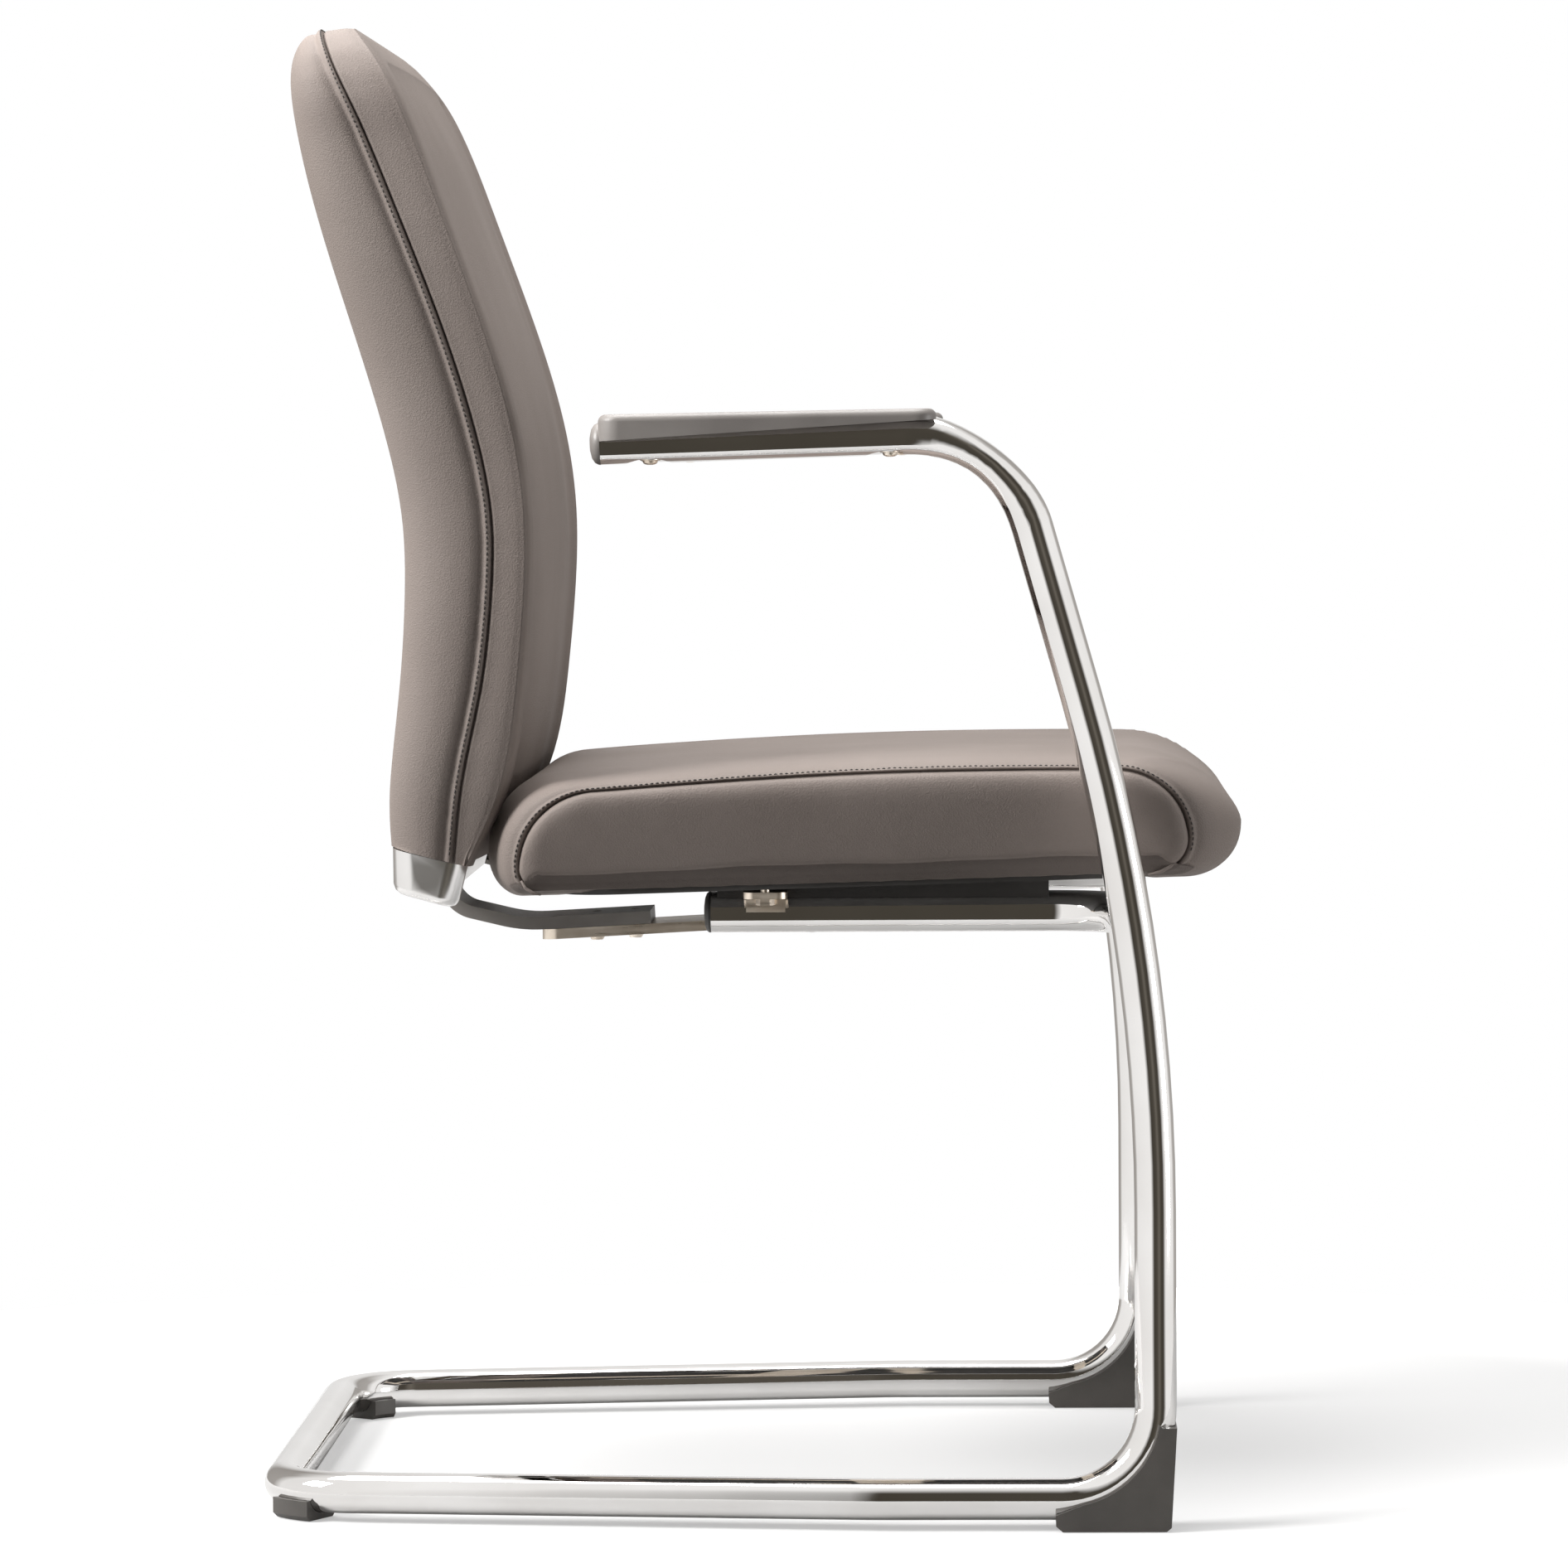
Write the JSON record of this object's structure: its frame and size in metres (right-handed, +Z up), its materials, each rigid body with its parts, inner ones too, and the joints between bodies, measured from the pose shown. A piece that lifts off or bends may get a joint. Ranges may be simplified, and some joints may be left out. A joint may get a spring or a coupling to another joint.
{
  "type": "visitor chair",
  "caption": "Cantilever visitor chair with a bent chrome tube frame, armrests with plastic pads, and a padded seat and backrest in leatherette.",
  "frame": {"origin": "on the floor, under the middle of the chair's box", "axes": "+X forward, the way the sitter faces; +Y to the sitter's left; +Z up"},
  "size_m": [0.6106, 0.577, 0.918],
  "materials": {
    "chrome": "bright chrome plate",
    "plated_steel": "zinc plate, slightly yellow",
    "dark_paint": "satin powder coat",
    "grey_plastic": "fine moulded texture",
    "black_plastic": "satin",
    "leatherette": "fine grain, low sheen",
    "plywood": "raw"
  },
  "bodies": {
    "root": {"frame_tube": "chrome", "arm_pads": "grey_plastic", "arm_end_plugs": "grey_plastic", "front_shoes": "grey_plastic", "rear_glides": "grey_plastic", "seat_support_tubes": "chrome", "support_plugs": "black_plastic", "packing_strips": "black_plastic", "seat_lugs": "plated_steel", "seat_bolts": "plated_steel", "cross_bar": "plated_steel", "back_tongue": "plated_steel", "tongue_bolts": "plated_steel", "back_bar": "dark_paint", "seat_under_cover": "black_plastic", "seat_board": "plywood", "seat_cushion": "leatherette", "back_board": "plywood", "back_rear_panel": "leatherette", "back_front_cushion": "leatherette", "back_trim": "chrome"}
  },
  "joints": []
}
